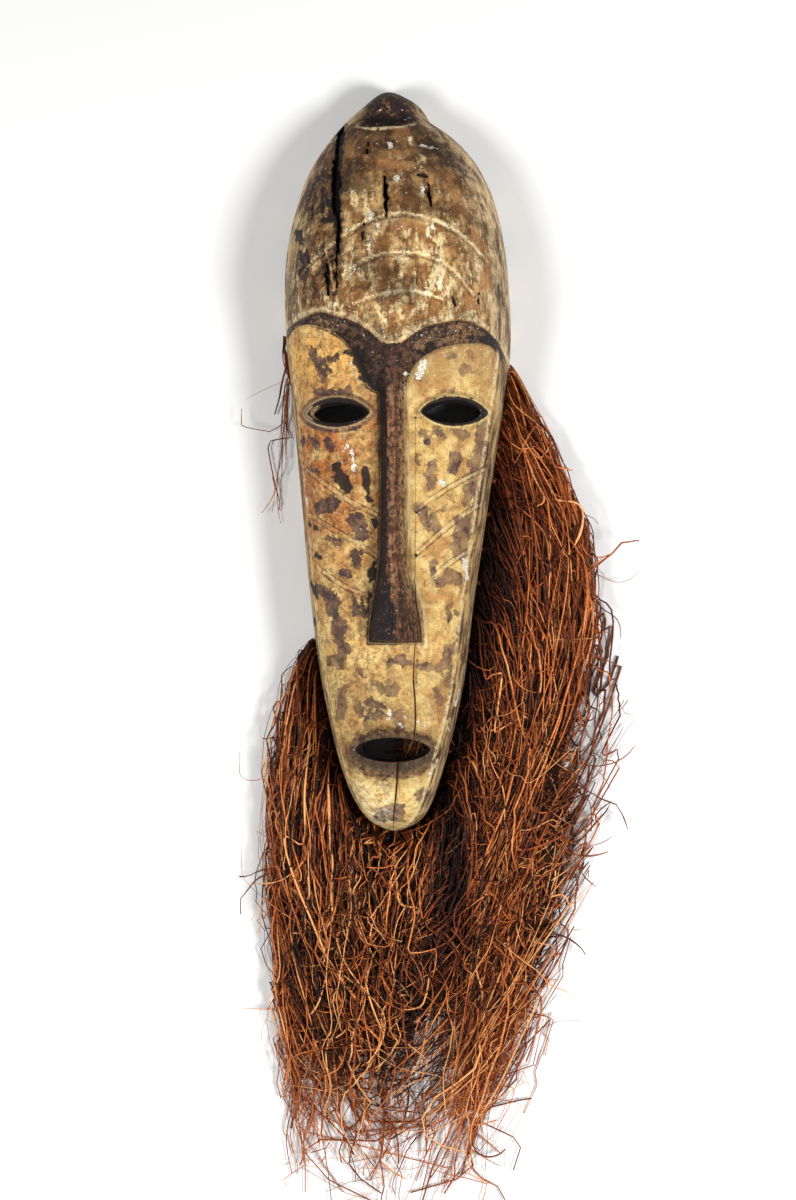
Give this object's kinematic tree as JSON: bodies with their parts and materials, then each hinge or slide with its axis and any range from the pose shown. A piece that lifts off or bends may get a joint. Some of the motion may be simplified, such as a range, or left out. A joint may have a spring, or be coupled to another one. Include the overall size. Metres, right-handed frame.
{
  "type": "carved wooden mask",
  "caption": "Tall hollow carved wooden mask with a high dome, arched brows, long nose, cut-through eyes and mouth, and a raffia fringe round its lower edge.",
  "frame": {"origin": "on the flat back edge at the crown, in the middle of the wall", "axes": "+Z out of the face, +Y from the chin to the crown, +X to the right of someone who looks at the face"},
  "size_m": [0.3325, 1.009, 0.125],
  "materials": {
    "wood": "worn wood with ochre and dark brown paint, rubbed and chipped",
    "raffia": "dry reddish-brown raffia fibre"
  },
  "bodies": {
    "root": {"carved_mask": "wood", "raffia_right_1": "raffia", "raffia_right_2": "raffia", "raffia_right_3": "raffia", "raffia_right_4": "raffia", "raffia_right_5": "raffia", "raffia_right_6": "raffia", "raffia_right_7": "raffia", "raffia_right_8": "raffia", "raffia_right_9": "raffia", "raffia_chin_1": "raffia", "raffia_chin_2": "raffia", "raffia_chin_3": "raffia", "raffia_chin_4": "raffia", "raffia_chin_5": "raffia", "raffia_chin_6": "raffia", "raffia_chin_7": "raffia", "raffia_left_1": "raffia", "raffia_left_2": "raffia", "raffia_left_3": "raffia", "raffia_left_4": "raffia", "raffia_left_5": "raffia", "raffia_wisp": "raffia"}
  },
  "joints": []
}
